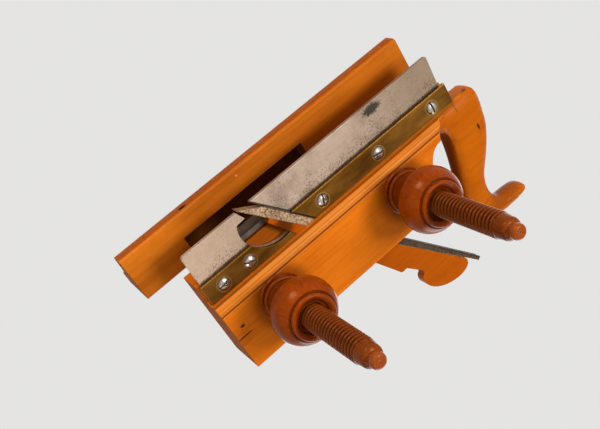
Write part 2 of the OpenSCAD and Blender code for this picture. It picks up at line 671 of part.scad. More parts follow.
module stop_plate_screw(s) {
    color("#8f8c86") translate([stop_x + s * top_screw_at, stop_y, z_top - top_plate_t]) difference() {
        union() {
            translate([0, 0, -top_screw_len]) cylinder(r = top_screw_r, h = top_screw_len + 0.6);
            translate([0, 0, 0.5]) cylinder(r1 = top_screw_r, r2 = top_screw_r + 1.5, h = top_plate_t - 0.5);
        }
        rotate([0, 0, 30]) translate([-4, -0.4, top_plate_t - 0.8]) cube([8, 0.8, 2]);
    }
}
module stop_plate_screw_1() stop_plate_screw(-1);
module stop_plate_screw_2() stop_plate_screw(1);
module stop_thumbscrew() {
    h = thumb_neck;
    color("#b08f3f") translate([stop_x, stop_y, z_top]) difference() {
        union() {
            translate([0, 0, -(z_top - stem_top) - thumb_in])
                cylinder(r = thumb_r, h = z_top - stem_top + thumb_in + h);
            translate([0, 0, -top_plate_t - collar_t]) cylinder(r = collar_r, h = collar_t - 0.05);
            rotate_extrude() polygon([[0, 0.1], [5.4, 0.1], [5.4, 1.2], [3.8, 2.4], [3.6, h - 1.6], [5, h],
                [thumb_head_r - 0.8, h], [thumb_head_r, h + 0.8], [thumb_head_r, h + thumb_head_h - 0.8],
                [thumb_head_r - 0.8, h + thumb_head_h], [0, h + thumb_head_h]]);
        }
        for (a = [0:15:345]) rotate([0, 0, a]) translate([thumb_head_r + 0.25, 0, h - 1])
            cylinder(r = 0.7, h = thumb_head_h + 2, $fn = 16);
    }
}
module stop_stem() {
    color("#a9a49a") translate([stop_x, stop_y, shoe_z + shoe_t]) difference() {
        union() {
            cylinder(r = stem_r, h = stem_len);
            translate([0, 0, -shoe_t]) cylinder(r = stem_r - 1.6, h = shoe_t + 1);
        }
        translate([0, 0, stem_len - thumb_in - 14]) cylinder(r = thumb_r + 0.3, h = thumb_in + 15);
    }
}
module stop_shoe() {
    x1 = stop_x + shoe_front;
    color("#a39f96") difference() {
        translate([x1 - shoe_len, stop_y - shoe_w / 2 - 0.6, shoe_z]) difference() {
            cube([shoe_len, shoe_w, shoe_t]);
            for (x = [-1, shoe_len + 1]) translate([x, -1, -1.2]) rotate([0, 45, 0])
                cube([2.6, shoe_w + 2, 2.6]);
        }
        translate([stop_x, stop_y, shoe_z - 1]) cylinder(r = stem_r - 1.6, h = shoe_t + 2);
    }
}

stock();
front_skate();
rear_skate();
front_plate();
rear_plate();
plate_screw_1();
plate_screw_2();
plate_screw_3();
plate_screw_4();
plate_screw_5();
iron();
wedge();
fence();
front_arm();
rear_arm();
front_arm_screw();
rear_arm_screw();
front_outer_nut();
rear_outer_nut();
front_inner_nut();
rear_inner_nut();
stop_plate();
stop_plate_screw_1();
stop_plate_screw_2();
stop_thumbscrew();
stop_stem();
stop_shoe();
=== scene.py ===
import math
import bmesh
import bpy
from mathutils import Matrix, Vector
from mathutils.geometry import delaunay_2d_cdt


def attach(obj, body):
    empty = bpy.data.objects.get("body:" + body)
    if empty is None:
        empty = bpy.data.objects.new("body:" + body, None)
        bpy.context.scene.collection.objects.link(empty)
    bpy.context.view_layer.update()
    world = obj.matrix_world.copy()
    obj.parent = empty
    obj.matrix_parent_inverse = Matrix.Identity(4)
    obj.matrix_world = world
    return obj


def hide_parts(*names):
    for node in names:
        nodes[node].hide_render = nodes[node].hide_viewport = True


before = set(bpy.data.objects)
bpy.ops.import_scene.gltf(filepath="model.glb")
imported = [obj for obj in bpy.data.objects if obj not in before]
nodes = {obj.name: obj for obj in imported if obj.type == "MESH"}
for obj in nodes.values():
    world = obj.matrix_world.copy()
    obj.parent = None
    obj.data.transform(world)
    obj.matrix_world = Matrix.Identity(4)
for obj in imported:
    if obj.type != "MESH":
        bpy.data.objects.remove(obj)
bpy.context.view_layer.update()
scene = bpy.context.scene
mm = 0.001
print("frame loaded:", len(nodes), "nodes")

# places that several pieces share, in millimetres
ironBed = {"x": 54.1, "lean": math.radians(51.7)}
stockSide = {"off": -13.6, "near": 24.4}
armPlace = {"front": 74.9, "rear": -42.7, "z": 65.4}
plateScrews = {"x": (101.1, 77.5, 10.3, -43.7, -97.6), "y": -4.6, "z": 33.8, "turn": (85, -68, 23, -83, -2),
               "shadedRim": ((2.6, 5.1), (5.8, 5.9)), "rubAndSheenRing": (5.4, 6.3)}


def feed(socket, value):
    if isinstance(value, Value):
        value.tree.links.new(value.socket, socket)
    else:
        socket.default_value = value


# one value in a node tree; arithmetic on it adds Math nodes
class Value:
    def __init__(self, tree, socket):
        self.tree, self.socket = tree, socket

    def maths(self, operation, other=None, flip=False, clamp=False):
        node = self.tree.nodes.new("ShaderNodeMath")
        node.operation, node.use_clamp = operation, clamp
        for socket, value in zip(node.inputs, (other, self) if flip else (self, other)):
            if value is not None:
                feed(socket, value)
        return Value(self.tree, node.outputs[0])

    def __add__(self, other): return self.maths("ADD", other)
    def __radd__(self, other): return self.maths("ADD", other)
    def __sub__(self, other): return self.maths("SUBTRACT", other)
    def __rsub__(self, other): return self.maths("SUBTRACT", other, flip=True)
    def __mul__(self, other): return self.maths("MULTIPLY", other)
    def __rmul__(self, other): return self.maths("MULTIPLY", other)
    def __truediv__(self, other): return self.maths("DIVIDE", other)
    def __rtruediv__(self, other): return self.maths("DIVIDE", other, flip=True)
    def __pow__(self, other): return self.maths("POWER", other)
    def clamped(self): return self.maths("ADD", 0.0, clamp=True)
    def most(self, other): return self.maths("MAXIMUM", other)
    def size(self): return self.maths("ABSOLUTE")


# a node tree; node adds one of any kind and gives one of its outputs
class Graph:
    def __init__(self, tree):
        self.tree = tree

    def node(self, kind, settings=None, inputs=None, out=0):
        node = self.tree.nodes.new(kind)
        for key, value in (settings or {}).items():
            setattr(node, key, value)
        for key, value in (inputs or {}).items():
            feed(node.inputs[key], value)
        return Value(self.tree, node.outputs[out])

    def end(self, kind, value):
        node = self.tree.nodes.new(kind)
        feed(node.inputs[0], value)
        return node


# one material that ends in a Principled shader
class Paint(Graph):
    def __init__(self, name, **fixed):
        self.mat = bpy.data.materials.new(name)
        self.mat.use_nodes = True
        super().__init__(self.mat.node_tree)
        self.tree.nodes.clear()
        self.shader = self.node("ShaderNodeBsdfPrincipled")
        self.last = self.end("ShaderNodeOutputMaterial", self.shader)
        self.coord = self.node("ShaderNodeTexCoord", out="Object")
        self.put(**fixed)

    def put(self, **inputs):
        for key, value in inputs.items():
            feed(self.shader.socket.node.inputs[key.replace("_", " ")], value)

    # object coordinates in millimetres, stretched and turned
    def grid(self, stretch=(1, 1, 1), turn=(0, 0, 0), shift=(0, 0, 0)):
        scaled = tuple(s / mm for s in stretch)
        return self.node("ShaderNodeMapping", None,
                         {"Vector": self.coord, "Scale": scaled, "Rotation": turn, "Location": shift})

    def axis(self, letter):
        return self.node("ShaderNodeSeparateXYZ", None, {0: self.coord}, out=letter) * (1 / mm)

    def noise(self, vector, scale=1.0, detail=3.0, rough=0.55, distort=0.0):
        return self.node("ShaderNodeTexNoise", None, {"Vector": vector, "Scale": scale, "Detail": detail,
                                                      "Roughness": rough, "Distortion": distort})

    # noise drawn out along the axes
    def grain(self, stretch, detail, rough, turn=(0, 0, 0), shift=(0, 0, 0), distort=0.0):
        return self.noise(self.grid(stretch, turn, shift), 1.0, detail, rough, distort)

    def remap(self, value, low, high, lowTo=0.0, highTo=1.0):
        return self.node("ShaderNodeMapRange", {"interpolation_type": "SMOOTHSTEP"},
                         {"Value": value, 1: low, 2: high, 3: lowTo, 4: highTo})

    # 1 between a rising and a falling slope
    def band(self, value, rise, fall):
        return self.remap(value, *rise) * self.remap(value, *fall, 1.0, 0.0)

    # full strength up to inner from a value, none past outer
    def line(self, value, at, inner, outer, strength=1.0):
        return self.remap((value - at).size(), inner, outer, strength, 0.0)

    def blend(self, factor, first, second):
        return self.node("ShaderNodeMix", {"data_type": "RGBA"}, {0: factor, 6: first, 7: second}, out=2)

    def ramp(self, value, stops):
        tone = self.node("ShaderNodeValToRGB", None, {0: value})
        elements = tone.socket.node.color_ramp.elements
        while len(elements) < len(stops):
            elements.new(0.5)
        for element, (spot, colour) in zip(elements, stops):
            element.position, element.color = spot, colour
        return tone

    # millimetres in front of the iron's bed
    def frontOfBed(self):
        lean = ironBed["lean"]
        return (self.axis("X") - ironBed["x"]) * math.sin(lean) + self.axis("Z") * math.cos(lean)

    # millimetres from a line along Y
    def fromAxis(self, x, z):
        return self.node("ShaderNodeVectorMath", {"operation": "DISTANCE"},
                         {0: self.grid((1, 0, 1)), 1: (x, 0, z)}, out="Value")

    # soft round mark, 1 at its middle
    def mark(self, spot, radius, soft, ragged, stretch):
        middle = tuple(p * s for p, s in zip(spot, stretch))
        gap = self.node("ShaderNodeVectorMath", {"operation": "DISTANCE"},
                        {0: self.grid(stretch), 1: middle}, out="Value")
        gap = gap + (self.noise(self.grid(), 0.6, 4.0) - 0.5) * ragged
        return self.remap(gap, radius * (1 - soft), radius * (1 + soft), 1.0, 0.0)

    # normal rounded at the arrises, and a mask of the arrises themselves
    def rounded(self, radius):
        soft = self.node("ShaderNodeBevel", {"samples": 6}, {"Radius": radius * mm})
        true = self.node("ShaderNodeNewGeometry", out="True Normal")
        same = self.node("ShaderNodeVectorMath", {"operation": "DOT_PRODUCT"}, {0: soft, 1: true}, out="Value")
        return soft, self.remap(same, 0.995, 0.86)

    def bump(self, height, strength, distance, normal):
        return self.node("ShaderNodeBump", None, {"Height": height, "Strength": strength,
                                                  "Distance": distance * mm, "Normal": normal})


def rgb(r, g, b):
    return (r, g, b, 1.0)


# a colour times one factor, or one for red and one for the rest, or three
def shaded(colour, red, green=None, blue=None):
    green = red if green is None else green
    blue = green if blue is None else blue
    return rgb(*[min(1.0, c * f) for c, f in zip(colour, (red, green, blue))])


stockFace = {"quirk": 48.6, "nutShadeAndGrime": (16.5, 27.0), "haloIn": (-12.0, -13.2), "throat": (47.0, 27.0, 29.0),
             "throatTop": (37.5, 39.0), "throatIn": ((-1.0, 0.5), (6.0, 7.0)), "beadIn": (-7.0, -9.0),
             "offSide": (-11.5, -12.6), "lines": ((42.0, 0.55, 0.75), (44.6, 0.4, 0.35), (46.6, 0.35, 0.4)),
             "lineIn": (-4.8, -5.4)}


# painted shade with some grime round the nut feet, painted shade in the throat, the bead lighter from rubbing and a
# painted highlight, thin dark lines of painted shade along the bead, a painted highlight line above the quirk and
# painted shade with grime in the quirk
def stockDetail(look, tone, streak, grime, deep, edge):
    s = stockFace
    across, up = look.axis("Y"), look.axis("Z")
    # painted shade with some grime round each nut foot, where the nut's shadow falls
    for x in (armPlace["front"], armPlace["rear"]):
        nutShadeAndGrime = look.remap(look.fromAxis(x, armPlace["z"]) + (grime - 0.5) * 3.0, *s["nutShadeAndGrime"], 0.66, 0.0)
        tone = look.blend(nutShadeAndGrime * look.remap(across, *s["haloIn"]), tone, shaded(deep, 0.3, 0.25))
    # painted shade inside the throat
    throat = look.line(look.axis("X"), *s["throat"]) * look.remap(up, *s["throatTop"], 1.0, 0.0)
    tone = look.blend(throat * look.band(across, *s["throatIn"]) * 0.6, tone, rgb(0.1, 0.022, 0.002))
    # the bead lighter: rubbing, and a painted highlight along its round
    bead = look.remap(up, s["quirk"] - 0.4, s["quirk"] - 1.4) * look.remap(across, *s["beadIn"])
    rubAndSheen = look.remap(streak, 0.35, 0.65, 0.35, 0.8)
    tone = look.blend(bead * rubAndSheen * 0.8, tone, shaded(edge, 0.76, 0.84, 1.1))
    # thin dark lines along the bead: painted shade at its steps, and a dark joint at the brass
    for height, width, strength in s["lines"]:
        stepShade = look.line(up + (streak - 0.5) * 0.5, height, width * 0.3, width, strength)
        tone = look.blend(stepShade * look.remap(across, *s["lineIn"]), tone, shaded(deep, 0.3, 0.25))
    offSide = look.remap(across, *s["offSide"])
    # a pale line above the quirk: painted highlight on the fillet's edge
    pale = look.line(up, s["quirk"] + 1.1, 0.15, 0.5, 0.6) * offSide
    tone = look.blend(pale * rubAndSheen, tone, shaded(edge, 1.0, 1.2, 2.5))
    # a dark line in the quirk: painted shade in the crease, with some grime
    quirk = look.line(up, s["quirk"], 0.15, 0.6) * offSide
    return look.blend(quirk * 0.75, tone, rgb(0.03, 0.008, 0.002))


fenceFace = {"recessIn": ((32.4, 34.0), (48.1, 48.6)), "recessX": ((-11.0, -9.5), (99.0, 100.5)),
             "recessFloor": (4.4, 5.6), "recessTop": (25.0, 40.0), "railIn": ((54.6, 55.2), (55.8, 56.4)),
             "railX": (45.0, 40.0, 62.0), "railTop": (34.0, 52.0), "faceIn": ((31.0, 31.6), (32.3, 32.8)),
             "faceUp": (-8.0, 14.0), "dark": 0.9}


# painted shade in the relief and on the rail, and painted shade on the inner face, darker upward toward the skate
def fenceDetail(look, tone, streak, grime, deep, edge):
    s = fenceFace
    length, across, up = look.axis("X"), look.axis("Y"), look.axis("Z")
    # painted shade in the relief pocket and on the rail behind it
    recess = look.band(across, *s["recessIn"]) * look.band(length, *s["recessX"])
    recess = recess * look.remap(up, *s["recessFloor"]) * look.remap(up, *s["recessTop"], 1.0, 0.3)
    rail = look.band(across, *s["railIn"]) * look.line(length, *s["railX"])
    rail = rail * look.remap(up, *s["railTop"], 1.0, 0.0)
    tone = look.blend(recess.most(rail) * s["dark"], tone, rgb(0.02, 0.005, 0.001))
    # painted shade on the inner face, darker upward toward the skate
    face = look.band(across, *s["faceIn"]) * look.remap(up, *s["faceUp"])
    return look.blend(face * 0.45, tone, shaded(deep, 0.5, 0.45))


# honey boxwood; the grain runs along X, or leans from it by some degrees
def boxwoodFinish(name, light, deep, edge, marks, lean=0.0, arris=0.9, detail=None):
    look = Paint(name, IOR=1.22, Specular_Tint=rgb(1.0, 0.6, 0.34))
    turn = (0, math.radians(lean), 0)
    streak = look.grain((0.012, 0.32, 0.32), 6.0, 0.62, turn, distort=0.5)
    fine = look.grain((0.05, 2.2, 2.2), 4.0, 0.6, turn)
    broad = look.grain((0.014, 0.03, 0.03), 4.0, 0.55, turn, (3.1, 1.7, 0.4))
    fleck = look.remap(look.grain((0.22, 2.6, 2.6), 2.0, 0.5, turn), 0.66, 0.74)
    grime = look.remap(look.grain((0.03, 0.05, 0.05), 6.0, 0.65, (0.3, 0.2, 0.1)), 0.52, 0.78)
    tone = look.ramp(streak * 0.42 + fine * 0.16 + broad * 0.42,
                     ((0.28, rgb(*deep)), (0.52, rgb(*light)), (0.8, shaded(light, 1.22))))
    tone = look.blend(fleck * 0.35, tone, shaded(deep, 0.42))
    tone = look.blend(grime * 0.3, tone, shaded(deep, 0.62, 0.5))
    soft, arrisMask = look.rounded(arris)
    worn = arrisMask * look.remap(look.noise(look.grid(), 0.12, 4.0), 0.35, 0.62)
    tone = look.blend(worn * 0.55, tone, rgb(*edge))
    rough = 0.36 + (streak - 0.5) * 0.22 + grime * 0.14 + fleck * 0.1
    relief = fine * 0.5 + streak * 0.35 - fleck * 0.6
    # faces across the grain darker: end grain, and painted shade on the end faces
    if not lean:
        normal = look.node("ShaderNodeTexCoord", out="Normal")
        facing = look.node("ShaderNodeSeparateXYZ", None, {0: normal}, out="X")
        endGrainAndShade = look.remap(facing.size(), 0.7, 0.95)
        pores = look.remap(look.grain((0.1, 3.0, 3.0), 3.0, 0.6), 0.45, 0.65)
        tone = look.blend(endGrainAndShade * (0.6 + pores * 0.2), tone, shaded(deep, 0.32, 0.28))
        rough = rough + endGrainAndShade * 0.45
    for spot, radius, stretch, colour, strength in marks:
        mark = look.mark(spot, radius, 0.45, radius * 0.9, stretch)
        tone = look.blend(mark * strength, tone, rgb(*colour))
    if detail:
        tone = detail(look, tone, streak, grime, deep, edge)
    look.put(Base_Color=tone, Roughness=rough.clamped(), Normal=look.bump(relief, 0.22, 0.25, soft))
    return look.mat


armWear = {"thread": (-125.0, -123.0), "tip": (-132.0, -137.0)}


# darker turned wood, the grain along the arms; a groove is the thread's depth in radii
def turnedFinish(name, light, deep, ringScale, groove=None, smudge=False, hollows=()):
    look = Paint(name, IOR=1.27, Specular_Tint=rgb(1.0, 0.52, 0.28))
    across = look.axis("Y")
    grain = look.grain((0.5, 0.03, 0.5), 6.0, 0.62, distort=0.4)
    fine = look.grain((2.4, 0.12, 2.4), 4.0, 0.6)
    cut = look.grain((0.02, ringScale, 0.02), 2.0, 0.5)
    broad = look.grain((0.03, 0.03, 0.03), 4.0, 0.55, (0.2, 0.4, 0.1))
    tone = look.ramp(grain * 0.4 + fine * 0.15 + broad * 0.45,
                     ((0.3, rgb(*deep)), (0.55, rgb(*light)), (0.8, shaded(light, 1.25))))
    fleck = look.remap(look.grain((1.2, 0.25, 1.2), 3.0, 0.6), 0.66, 0.74)
    tone = look.blend(fleck * 0.6, tone, shaded(deep, 0.25, 0.2))
    relief = grain * 0.5 + cut * 0.4 - fleck * 0.5
    if smudge:
        scuff = look.remap(look.grain((0.16, 0.1, 0.16), 7.0, 0.7, (0.5, 0.2, 0.9)), 0.56, 0.74)
        tone = look.blend(scuff * 0.5, tone, shaded(deep, 0.45, 0.4))
    # painted shade in the nut's grooves and along its neck
    for middle, width, strength in hollows:
        gap = (across - middle).size() + (grain - 0.5) * 0.5
        tone = look.blend(look.remap(gap, width * 0.45, width, strength, 0.0), tone, shaded(deep, 0.3, 0.25))
    if groove:
        middle = (armPlace["front"] + armPlace["rear"]) / 2
        aside = (look.axis("X") - middle).size() - (armPlace["front"] - middle)
        up = look.axis("Z") - armPlace["z"]
        radius = (aside * aside + up * up) ** 0.5
        # painted shade in the thread's grooves, with some grime
        darkening = look.remap(radius, *groove, 0.92, 0.0) * look.remap(across, *armWear["thread"])
        tone = look.blend(darkening, tone, shaded(deep, 0.16, 0.12))
        worn = look.remap(across, *armWear["tip"])
        tone = look.blend(worn * 0.7, tone, rgb(0.25, 0.052, 0.009))
        relief = relief * (1.0 - worn * 0.85)
    soft, arrisMask = look.rounded(0.5)
    tone = look.blend(arrisMask * 0.25, tone, shaded(light, 1.5))
    rough = 0.24 + (grain - 0.5) * 0.2 + fleck * 0.2
    look.put(Base_Color=tone, Roughness=rough.clamped(), Normal=look.bump(relief, 0.18, 0.25, soft))
    return look.mat


# painted light at the skate's toe and painted shade at its heel
skateLightAndShade = {"ragged": 60.0, "toe": (30.0, 110.0), "heel": (0.0, -110.0)}


# bright old steel with pits and rust bloom
def steelFinish(name, bright, dull, pits=1.0, stains=(), rough=0.36, shine=0.55, slotFloor=None, darkFrom=None,
                grimeAt=None, rim=None, bedLine=False, mottle=0.0, lightAndShadeAlong=None):
    look = Paint(name, IOR=1.2)
    up = look.axis("Z")
    brushed = look.grain((0.02, 0.9, 0.9), 5.0, 0.6)
    cloud = look.grain((0.045, 0.045, 0.045), 6.0, 0.62, (0.4, 0.1, 0.2))
    pitNoise = look.noise(look.grid(), 1.0, 3.0, 0.65)
    where = look.remap(look.noise(look.grid(), 0.05, 5.0, 0.65), 0.34, 0.66)
    if grimeAt:
        where = where * 0.7 + look.remap(up, grimeAt * 0.4, grimeAt, 0.0, 0.65)
    pit = look.remap(pitNoise + (where - 0.5) * 0.16, 0.575, 0.66) * pits
    tone = look.blend(look.remap(cloud, 0.35, 0.7), rgb(*bright), rgb(*dull))
    tone = look.blend(look.remap(brushed, 0.4, 0.7) * 0.18, tone, shaded(dull, 0.6))
    # lighter toward the toe and darker toward the heel: painted light and painted shade along the skate
    if lightAndShadeAlong:
        length = look.axis("X") + (cloud - 0.5) * lightAndShadeAlong["ragged"]
        tone = look.blend(look.remap(length, *lightAndShadeAlong["toe"]) * 0.4, tone, rgb(0.7, 0.49, 0.335))
        tone = look.blend(look.remap(length, *lightAndShadeAlong["heel"]) * 0.72, tone, rgb(0.2, 0.138, 0.09))
    tone = look.blend(pit * 0.72, tone, rgb(0.09, 0.062, 0.042))
    metal = shine - pit * 0.4
    if mottle:
        patch = look.remap(look.noise(look.grid(), 0.55, 5.0, 0.7), 0.42, 0.6)
        tone = look.blend(patch * mottle, tone, rgb(0.045, 0.026, 0.014))
    roughness = rough + (cloud - 0.5) * 0.3 + pit * 0.35
    for spot, radius, stretch, colour, strength in stains:
        stain = look.mark(spot, radius, 0.3, radius * 1.9, stretch)
        tone = look.blend(stain * strength, tone, rgb(*colour))
        roughness = roughness + stain * 0.3
        metal = metal - stain * strength * 0.4
    if darkFrom:
        aged = look.remap(up + (cloud - 0.5) * 14.0, *darkFrom)
        tone = look.blend(aged * 0.85, tone, rgb(0.03, 0.019, 0.012))
    if grimeAt:
        darkening = look.remap((up - grimeAt).size() + (pitNoise - 0.5) * 6.0, 0.9, 1.8, 1.0, 0.0)
        tone = look.blend(darkening * 0.92, tone, rgb(0.012, 0.008, 0.005))
        metal = metal - darkening * 0.55
    if bedLine:
        joint = look.remap((look.frontOfBed() + (pitNoise - 0.5) * 0.6).size(), 0.6, 1.2, 1.0, 0.0)
        tone = look.blend(joint * 0.9, tone, rgb(0.015, 0.01, 0.007))
        metal = metal - joint * 0.5
    if rim:
        # painted shade toward the rim of each domed head, standing in for dark reflections
        for x in rim["x"]:
            ring = look.band(look.fromAxis(x, rim["z"]), *rim["shadedRim"])
            tone = look.blend(ring * 0.85, tone, rgb(0.03, 0.02, 0.012))
    if slotFloor is not None:
        # the slot is darker toward its floor
        darkening = look.remap(look.axis("Y"), slotFloor - 0.15, slotFloor + 0.15)
        tone = look.blend(darkening * 0.94, tone, rgb(0.012, 0.009, 0.007))
        metal = metal - darkening
        roughness = roughness + darkening * 0.5
    soft, arrisMask = look.rounded(0.35)
    tone = look.blend(arrisMask * 0.4, tone, shaded(bright, 1.15))
    look.put(Base_Color=tone, Metallic=metal.clamped(), Roughness=roughness.clamped(),
             Normal=look.bump(brushed * 0.3 + cloud * 0.2 - pit * 0.9, 0.25, 0.15, soft))
    return look.mat


plateEdge = {"low": 25.3, "high": 41.4}


# dull brass, yellow at arrises, plate edges and round screws: rubbing there, and painted highlight
def brassFinish(name, yellow, brown, screwPlaces=()):
    look = Paint(name, Metallic=1.0)
    up = look.axis("Z")
    cloud = look.grain((0.03, 0.08, 0.08), 6.0, 0.6, (0.1, 0.3, 0.2))
    brushed = look.grain((0.03, 1.4, 1.4), 5.0, 0.6)
    speck = look.remap(look.noise(look.grid(), 0.9, 3.0, 0.6), 0.62, 0.72)
    between = [(a + b) / 2 for a, b in zip(yellow, brown)]
    tone = look.blend(look.remap(cloud, 0.2, 0.85), rgb(*brown), rgb(*between))
    tone = look.blend(speck * 0.4, tone, shaded(brown, 0.4))
    soft, bright = look.rounded(0.3)
    # the rings round the screws and the plate edges lighter: rubbing, with painted highlight
    for x, z in screwPlaces:
        bright = bright.most(look.remap(look.fromAxis(x, z), *plateScrews["rubAndSheenRing"], 0.95, 0.0))
    edges = look.line(up, plateEdge["low"], 0.35, 0.75).most(look.line(up, plateEdge["high"], 0.2, 0.5, 0.7))
    bright = bright.most(edges * look.remap(cloud, 0.3, 0.5, 0.5, 1.0))
    tone = look.blend(bright * 0.85, tone, rgb(*yellow))
    if screwPlaces:
        joint = look.remap(look.frontOfBed().size(), 0.4, 0.9, 0.9, 0.0)
        tone = look.blend(joint, tone, rgb(0.015, 0.009, 0.004))
    rough = 0.42 + (brushed - 0.5) * 0.25 + speck * 0.2 - bright * 0.1
    look.put(Base_Color=tone, Roughness=rough.clamped(),
             Normal=look.bump(brushed * 0.4 + cloud * 0.3, 0.15, 0.1, soft))
    return look.mat


# a mark is its place, radius, stretch, colour and strength
stockWood = boxwoodFinish("stockWood", (0.57, 0.137, 0.005), (0.37, 0.074, 0.002), (0.62, 0.21, 0.027),
                          [((109.2, -13.6, 63.1), 1.1, (0.6, 1, 1), (0.02, 0.006, 0.002), 0.95),
                           ((112, -13.6, 70.6), 1.1, (0.16, 1, 2.0), (0.03, 0.009, 0.002), 0.95)], detail=stockDetail)
toteWood = boxwoodFinish("toteWood", (0.4, 0.09, 0.001), (0.26, 0.048, 0.0006), (0.58, 0.19, 0.022),
                         [((-124.7, -4.7, 72), 1.4, (1.4, 0.5, 0.5), (0.02, 0.007, 0.002), 0.95),
                          ((-129.4, 0, 42), 1.5, (1, 1, 1), (0.03, 0.01, 0.003), 0.9),
                          ((-114.6, -5, 46.8), 1.2, (2.4, 0.3, 0.27), (0.06, 0.015, 0.002), 0.75),
                          # the large dark mark under the horn is painted shade, with some hand grime
                          ((-122, 6, 137), 15, (0.8, 0.6, 1.6), (0.16, 0.03, 0.001), 0.7)])
fenceWood = boxwoodFinish("fenceWood", (0.48, 0.132, 0.007), (0.3, 0.064, 0.003), (0.6, 0.23, 0.04),
                          [((87.3, 37.0, -11.6), 1.5, (0.5, 0.8, 1), (0.008, 0.003, 0.001), 1.0),
                           ((43.5, 31.9, -6.6), 0.8, (1, 1, 1), (0.6, 0.3, 0.1), 0.8)], detail=fenceDetail)
wedgeWood = boxwoodFinish("wedgeWood", (0.37, 0.073, 0.0008), (0.27, 0.046, 0.0006), (0.55, 0.16, 0.015),
                          # the dark mark near the wedge's tip is painted shade inside the mortise
                          [((43, -3.6, 30), 7.0, (1, 0.5, 1), (0.05, 0.01, 0.001), 0.85)], lean=51, arris=0.6)
nutWood = turnedFinish("nutWood", (0.21, 0.031, 0.0004), (0.09, 0.0105, 0.0002), 0.5, smudge=True,
                       hollows=((-17.6, 0.8, 0.75), (-21.6, 0.9, 0.75), (-31.0, 13.0, 0.5), (-60.15, 0.6, 0.7)))
armWood = turnedFinish("armWood", (0.14, 0.025, 0.001), (0.066, 0.0102, 0.0006), 0.3, groove=(7.6, 9.0))
skateSteel = steelFinish("skateSteel", (0.52, 0.4, 0.312), (0.28, 0.208, 0.154),
                         stains=[((-57.0, -1.6, 4.6), 4.8, (0.62, 1, 1.35), (0.03, 0.022, 0.016), 0.93)],
                         grimeAt=25.0, bedLine=True, lightAndShadeAlong=skateLightAndShade)
ironSteel = steelFinish("ironSteel", (0.6, 0.41, 0.25), (0.34, 0.215, 0.125), 1.6, rough=0.45, darkFrom=(74, 104),
                        bedLine=True, mottle=0.75)
stopSteel = steelFinish("stopSteel", (0.17, 0.14, 0.11), (0.08, 0.063, 0.05), rough=0.45)
plateScrewSteel = steelFinish("plateScrewSteel", (0.6, 0.52, 0.44), (0.26, 0.21, 0.165), 0.8, rough=0.22, shine=1.0,
                              slotFloor=-4.7, rim=plateScrews)
smallScrewSteel = steelFinish("smallScrewSteel", (0.5, 0.42, 0.34), (0.22, 0.18, 0.14), 0.7, rough=0.3, shine=0.8)
plateBrass = brassFinish("plateBrass", (0.4, 0.186, 0.03), (0.056, 0.0195, 0.003),
                         [(x, plateScrews["z"]) for x in plateScrews["x"]])
stopBrass = brassFinish("stopBrass", (0.62, 0.42, 0.13), (0.3, 0.18, 0.055))
print("finishes made")


def meshOf(name, bm):
    mesh = bpy.data.meshes.new(name)
    bm.to_mesh(mesh)
    bm.free()
    return mesh


def linked(name, data):
    thing = bpy.data.objects.new(name, data)
    scene.collection.objects.link(thing)
    return thing


def place(name, bm, body, finish, stands):
    mesh = meshOf(name, bm)
    mesh.materials.append(finish)
    piece = linked(name, mesh)
    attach(piece, body)
    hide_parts(*stands)


# what is left of one shape when another is cut out of it
def cutAway(name, bm, cutter):
    raw, knife = linked(name, meshOf(name, bm)), linked(name + "Cut", meshOf(name + "Cut", cutter))
    cut = raw.modifiers.new("cut", "BOOLEAN")
    cut.operation, cut.solver, cut.object = "DIFFERENCE", "EXACT", knife
    mesh = bpy.data.meshes.new_from_object(raw.evaluated_get(bpy.context.evaluated_depsgraph_get()))
    for old in (raw, knife):
        bpy.data.objects.remove(old)
    return mesh


def softShade(bm, angle):
    for face in bm.faces:
        face.smooth = True
    for edge in bm.edges:
        edge.smooth = edge.calc_face_angle(0.0) < math.radians(angle)


# a merged copy of a CAD node, so that its curved faces can shade smoothly
def cadCopy(node):
    bm = bmesh.new()
    bm.from_mesh(nodes[node].data)
    bmesh.ops.remove_doubles(bm, verts=bm.verts, dist=2e-6)
    return bm


def dressed(node, body, finish, angle=32):
    bm = cadCopy(node)
    softShade(bm, angle)
    place(node + "Piece", bm, body, finish, (node,))


# closed turned shape; the profile is (radius, distance along), along runs from start in direction way
def turned(bm, profile, start, way, around):
    way = Vector(way).normalized()
    side = Vector((0, 0, 1)) if abs(way.z) < 0.5 else Vector((1, 0, 0))
    first = (side - way * side.dot(way)).normalized()
    second = way.cross(first)
    rings = []
    for radius, along in profile:
        centre = Vector(start) + way * along
        if radius < 1e-6:
            rings.append([bm.verts.new(centre * mm)])
        else:
            rings.append([bm.verts.new((centre + (first * math.cos(t) + second * math.sin(t)) * radius) * mm)
                          for t in (2 * math.pi * k / around for k in range(around))])
    closedBore = profile[0][0] > 1e-6 and profile[-1][0] > 1e-6
    pairs = list(zip(rings, rings[1:])) + ([(rings[-1], rings[0])] if closedBore else [])
    for low, high in pairs:
        for k in range(around):
            n = (k + 1) % around
            if len(low) == 1:
                bm.faces.new((low[0], high[n], high[k]))
            elif len(high) == 1:
                bm.faces.new((low[k], low[n], high[0]))
            else:
                bm.faces.new((low[k], low[n], high[n], high[k]))
    bmesh.ops.recalc_face_normals(bm, faces=bm.faces)


def bezier(a, b, c, d, count):
    points = []
    for i in range(count):
        t = i / count
        s = 1 - t
        points.append(tuple(s ** 3 * p + 3 * s * s * t * q + 3 * s * t * t * r + t ** 3 * w
                            for p, q, r, w in zip(a, b, c, d)))
    return points


def arcOf(cx, cy, rx, ry, a0, a1, count=10):
    return [(cx + rx * math.cos(math.radians(a0 + (a1 - a0) * i / count)),
             cy + ry * math.sin(math.radians(a0 + (a1 - a0) * i / count))) for i in range(count + 1)]


